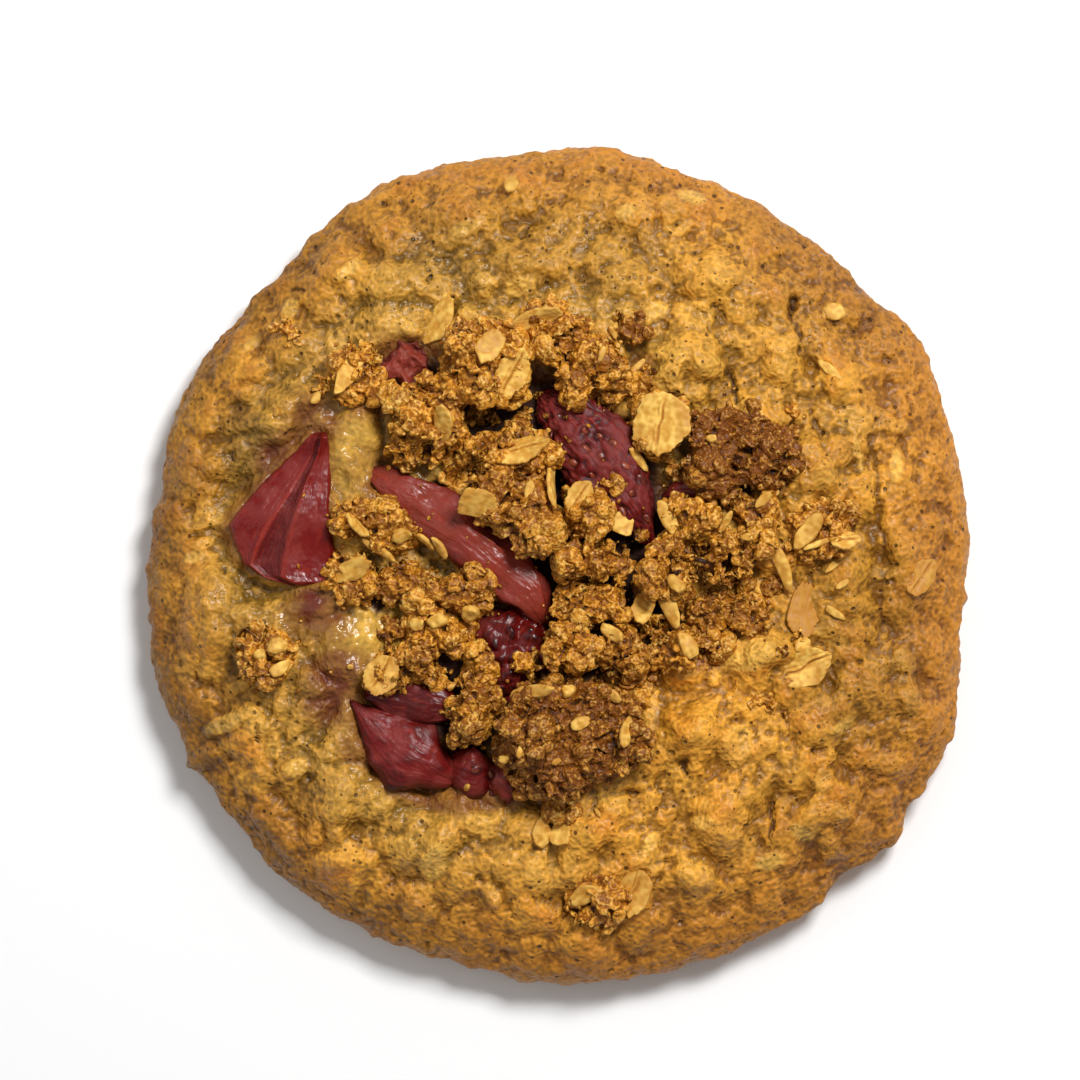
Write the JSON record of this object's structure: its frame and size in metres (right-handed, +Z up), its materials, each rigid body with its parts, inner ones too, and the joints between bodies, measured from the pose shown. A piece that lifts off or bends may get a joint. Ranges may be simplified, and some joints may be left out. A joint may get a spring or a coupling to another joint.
{
  "type": "strawberry oat crumble cookie",
  "caption": "Thick round oat cookie with baked strawberry pieces and oat crumble heaped over its middle, lying on its flat underside.",
  "frame": {"origin": "middle of the flat underside, on the surface that the cookie lies on", "axes": "+Z up through the dome; +X to the right and +Y away from a viewer who sees the cookie from above as pictured, with the largest strawberry slice at -X"},
  "size_m": [0.1079, 0.1098, 0.0234],
  "materials": {
    "dough": "baked oat dough, golden brown, with an uneven and slightly glossy crust",
    "crumble": "brown sugar crumble, coarse grained and matt with fine sparkles",
    "oat": "toasted rolled oat, satin",
    "strawberry": "baked strawberry flesh, dark red, moist and glossy"
  },
  "bodies": {
    "root": {"cookie": "dough", "strawberry_wedge": "strawberry", "strawberry_half_sunk": "strawberry", "strawberry_ribbon": "strawberry", "strawberry_crumpled": "strawberry", "strawberry_seeded": "strawberry", "strawberry_lens": "strawberry", "strawberry_pear": "strawberry", "strawberry_tip": "strawberry", "strawberry_flat": "strawberry", "strawberry_sliver": "strawberry", "crumble_knuckle": "crumble", "crumble_west": "crumble", "crumble_pebble": "crumble", "crumble_cheek": "crumble", "crumble_crown": "crumble", "crumble_ridge": "crumble", "crumble_brow": "crumble", "crumble_heart": "crumble", "crumble_saddle": "crumble", "crumble_heel": "crumble", "crumble_ledge": "crumble", "crumble_bean": "crumble", "crumble_nugget": "crumble", "crumble_twin": "crumble", "crumble_ball": "crumble", "crumble_stack": "crumble", "crumble_inner": "crumble", "crumble_bridge": "crumble", "crumble_dark": "crumble", "crumble_plinth": "crumble", "crumble_east": "crumble", "crumble_crumb": "crumble", "crumble_south": "crumble", "crumble_spill": "crumble", "crumble_pillar": "crumble", "crumble_peak": "crumble", "crumble_shelf": "crumble", "crumble_nest": "crumble", "crumble_lone": "crumble", "crumble_sunk": "crumble", "oat_creased": "oat", "oat_flat": "oat", "oat_standing": "oat", "oat_thin": "oat"}
  },
  "joints": []
}
